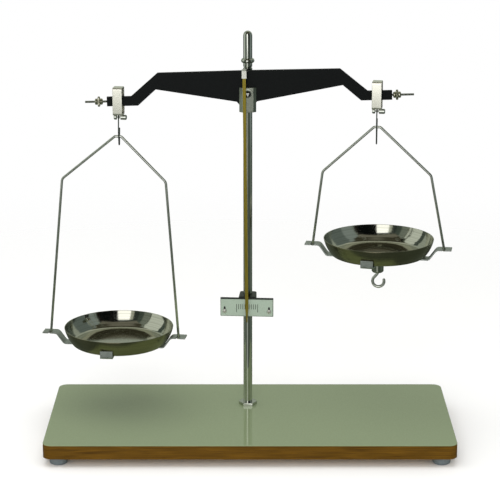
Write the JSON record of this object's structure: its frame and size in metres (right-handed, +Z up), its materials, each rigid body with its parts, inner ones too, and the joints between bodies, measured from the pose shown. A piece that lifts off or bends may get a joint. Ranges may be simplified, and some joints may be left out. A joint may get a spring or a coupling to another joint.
{
  "type": "hydrostatic balance",
  "caption": "Equal-arm hydrostatic balance: board, column and black beam on a knife edge, a long and a short bail with steel dishes, and a hook under the short one.",
  "frame": {"origin": "on the table, in line with the column in X and under the middle of the board's depth", "axes": "+Z up, +X to the user's right along the beam, +Y away from the user; the front faces -Y"},
  "size_m": [0.4605, 0.2, 0.4557],
  "materials": {
    "board_core": "matte",
    "board_sheet": "gloss",
    "board_edge": "satin",
    "foot_grey": "matte",
    "zinc_steel": "satin",
    "chromed": "polished",
    "block_metal": "satin",
    "hard_steel": "polished",
    "beam_black": "satin",
    "brass": "satin",
    "pointer_brass": "satin",
    "bracket_silver": "satin",
    "stirrup_nickel": "satin",
    "wire_steel": "polished",
    "carrier_zinc": "satin",
    "dish_steel": "polished",
    "boss_alu": "satin",
    "clip_black": "satin",
    "plate_pale": "matte"
  },
  "bodies": {
    "stand": {"base_board": "board_core", "base_laminate": "board_sheet", "edge_band": "board_edge", "foot_front_left": "foot_grey", "foot_front_right": "foot_grey", "foot_rear_left": "foot_grey", "foot_rear_right": "foot_grey", "foot_screws": "zinc_steel", "column": "chromed", "column_nut_upper": "chromed", "column_washer": "zinc_steel", "column_nut_lower": "zinc_steel", "column_knob": "chromed", "bearing_block": "block_metal", "bearing_ring_front": "hard_steel", "bearing_ring_rear": "hard_steel", "block_screw": "zinc_steel"},
    "scale": {"scale_bracket": "clip_black", "scale_plate": "plate_pale", "scale_screws": "zinc_steel"},
    "beam": {"beam": "beam_black", "centre_knife": "hard_steel", "left_knife": "hard_steel", "right_knife": "hard_steel", "left_balance_screw": "zinc_steel", "right_balance_screw": "zinc_steel", "pointer_bracket": "bracket_silver", "pointer_screw": "zinc_steel", "pointer": "pointer_brass"},
    "left_nut": {"left_balance_nut": "brass"},
    "right_nut": {"right_balance_nut": "brass"},
    "left_stirrup": {"left_stirrup": "stirrup_nickel", "left_stirrup_bearings": "hard_steel", "left_crossbar": "wire_steel"},
    "left_hook": {"left_hook": "wire_steel"},
    "left_bail": {"left_bail": "wire_steel"},
    "left_pan": {"left_carrier": "carrier_zinc", "left_cross_arm": "carrier_zinc", "left_carrier_rivet": "zinc_steel", "left_pan": "dish_steel"},
    "right_stirrup": {"right_stirrup": "stirrup_nickel", "right_stirrup_bearings": "hard_steel", "right_crossbar": "wire_steel"},
    "right_hook": {"right_hook": "wire_steel"},
    "right_bail": {"right_bail": "wire_steel"},
    "right_pan": {"right_carrier": "carrier_zinc", "right_cross_arm": "carrier_zinc", "right_carrier_rivet": "zinc_steel", "right_pan": "dish_steel", "hook_boss": "boss_alu"},
    "body_hook": {"body_hook": "wire_steel"}
  },
  "joints": [
    {"name": "beam_tilt", "type": "hinge", "parent": "stand", "child": "beam", "pos_m": [0, 0.0223, 0.3862], "axis": [0, 1, 0], "range_deg": [-3.65, 6.35]},
    {"name": "left_stirrup_swing", "type": "hinge", "parent": "beam", "child": "left_stirrup", "pos_m": [-0.14138, 0.0223, 0.37937], "axis": [0, 1, 0], "range_deg": [-7, 7]},
    {"name": "left_hook_swing", "type": "hinge", "parent": "left_stirrup", "child": "left_hook", "pos_m": [-0.14138, 0.0223, 0.36207], "axis": [0.9903, -0.1392, 0], "range_deg": [-8, 8]},
    {"name": "left_bail_rock", "type": "hinge", "parent": "left_hook", "child": "left_bail", "pos_m": [-0.14138, 0.0223, 0.34057], "axis": [0.1392, 0.9903, 0], "range_deg": [-3, 3]},
    {"name": "left_pan_tip", "type": "hinge", "parent": "left_bail", "child": "left_pan", "pos_m": [-0.15079, 0.02362, 0.11237], "axis": [0.9903, -0.1392, 0], "range_deg": [-4, 4]},
    {"name": "right_stirrup_swing", "type": "hinge", "parent": "beam", "child": "right_stirrup", "pos_m": [0.14154, 0.0223, 0.38604], "axis": [0, 1, 0], "range_deg": [-7, 7]},
    {"name": "right_hook_swing", "type": "hinge", "parent": "right_stirrup", "child": "right_hook", "pos_m": [0.14154, 0.0223, 0.36873], "axis": [0.9848, -0.1736, 0], "range_deg": [-8, 8]},
    {"name": "right_bail_rock", "type": "hinge", "parent": "right_hook", "child": "right_bail", "pos_m": [0.14154, 0.0223, 0.35103], "axis": [0.1736, 0.9848, 0], "range_deg": [-3, 3]},
    {"name": "right_pan_tip", "type": "hinge", "parent": "right_bail", "child": "right_pan", "pos_m": [0.14538, 0.02162, 0.21583], "axis": [0.9848, -0.1736, 0], "range_deg": [-4, 4]},
    {"name": "left_nut_travel", "type": "slide", "parent": "beam", "child": "left_nut", "axis": [0.9997, 0, 0.0236], "range_m": [-0.0107, 0.0044]},
    {"name": "right_nut_travel", "type": "slide", "parent": "beam", "child": "right_nut", "axis": [0.9997, 0, 0.0236], "range_m": [-0.001, 0.0141]},
    {"name": "scale_slide", "type": "slide", "parent": "stand", "child": "scale", "axis": [0, 0, 1], "range_m": [-0.03, 0.03]},
    {"name": "body_hook_turn", "type": "hinge", "parent": "right_pan", "child": "body_hook", "pos_m": [0.14538, 0.02162, 0.20339], "axis": [0, 0, 1], "continuous": true}
  ]
}
